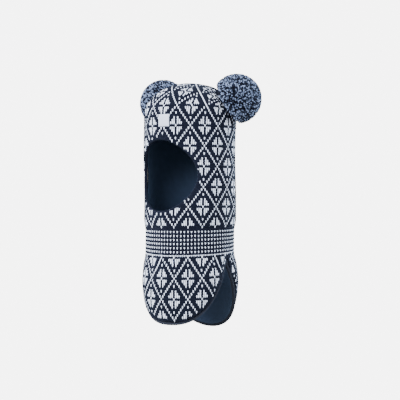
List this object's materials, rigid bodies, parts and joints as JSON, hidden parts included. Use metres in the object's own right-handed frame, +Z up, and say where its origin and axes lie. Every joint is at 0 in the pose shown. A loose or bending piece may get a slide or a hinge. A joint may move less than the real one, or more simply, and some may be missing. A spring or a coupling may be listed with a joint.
{
  "type": "knitted balaclava",
  "caption": "Toddler's lined jacquard-knit balaclava with an oval face opening, striped rib neck, rounded chest and back flaps and pom-pom ears.",
  "frame": {"origin": "inside of the crown, where the top of the head touches the lining", "axes": "+Z up through the crown, -Y out of the face opening, +X to the wearer's left"},
  "size_m": [0.2266, 0.1578, 0.4067],
  "materials": {
    "jacquard": "jacquard double knit, navy and white wool",
    "rib": "striped rib knit, navy and white wool",
    "navy_edge": "navy wool, rolled edge",
    "lining": "navy cotton jersey",
    "pom_yarn": "cut yarn, navy and pale blue-white",
    "tie_yarn": "navy thread",
    "membrane": "thin white windproof membrane",
    "elastic": "flat woven elastic",
    "label": "woven satin, pale silver, blank",
    "felt": "navy felt"
  },
  "bodies": {
    "hood": {"hood_knit": "jacquard", "hood_lining_left": "lining", "hood_lining_right": "lining", "ear_membrane_left": "membrane", "ear_membrane_right": "membrane", "face_binding": "navy_edge", "face_elastic": "elastic", "forehead_label": "label", "pompom_left_tie": "tie_yarn", "pompom_left_backing": "felt", "pompom_right_tie": "tie_yarn", "pompom_right_backing": "felt"},
    "neck": {"neck_band": "rib", "neck_lining": "lining"},
    "front_flap": {"front_flap_knit": "jacquard", "front_flap_lining": "lining", "front_flap_hem": "navy_edge"},
    "back_flap": {"back_flap_knit": "jacquard", "back_flap_lining": "lining", "back_flap_hem": "navy_edge"},
    "pompom_left_core": {"pompom_left_binding": "tie_yarn"},
    "pompom_left_ball": {"pompom_left": "pom_yarn"},
    "pompom_right_core": {"pompom_right_binding": "tie_yarn"},
    "pompom_right_ball": {"pompom_right": "pom_yarn"}
  },
  "joints": [
    {"name": "neck_turn", "type": "hinge", "parent": "hood", "child": "neck", "pos_m": [0, 0, -0.2278], "axis": [0, 0, 1], "range_deg": [-44, 16], "stiffness_Nm_per_rad": 0.15},
    {"name": "front_flap_lift", "type": "hinge", "parent": "neck", "child": "front_flap", "pos_m": [0.01638, -0.07152, -0.2658], "axis": [-0.9651, -0.2619, 0], "range_deg": [0, 40], "stiffness_Nm_per_rad": 0.05, "springref_deg": -34.38},
    {"name": "back_flap_lift", "type": "hinge", "parent": "neck", "child": "back_flap", "pos_m": [-0.01633, 0.07132, -0.2588], "axis": [0.9651, 0.262, 0], "range_deg": [0, 40], "stiffness_Nm_per_rad": 0.05, "springref_deg": -34.38},
    {"name": "pompom_left_rock", "type": "hinge", "parent": "hood", "child": "pompom_left_core", "pos_m": [0.06482, 0.02139, -0.0261], "axis": [0.2711, -0.9626, 0], "range_deg": [-15, 15], "stiffness_Nm_per_rad": 0.3},
    {"name": "pompom_left_twist", "type": "hinge", "parent": "pompom_left_core", "child": "pompom_left_ball", "pos_m": [0.06482, 0.02139, -0.0261], "axis": [0.8472, 0.2386, 0.4746], "range_deg": [-45, 45], "stiffness_Nm_per_rad": 0.05},
    {"name": "pompom_right_rock", "type": "hinge", "parent": "hood", "child": "pompom_right_core", "pos_m": [-0.06482, 0.02139, -0.0261], "axis": [0.2711, 0.9626, 0], "range_deg": [-15, 15], "stiffness_Nm_per_rad": 0.3},
    {"name": "pompom_right_twist", "type": "hinge", "parent": "pompom_right_core", "child": "pompom_right_ball", "pos_m": [-0.06482, 0.02139, -0.0261], "axis": [-0.8472, 0.2386, 0.4746], "range_deg": [-45, 45], "stiffness_Nm_per_rad": 0.05}
  ]
}
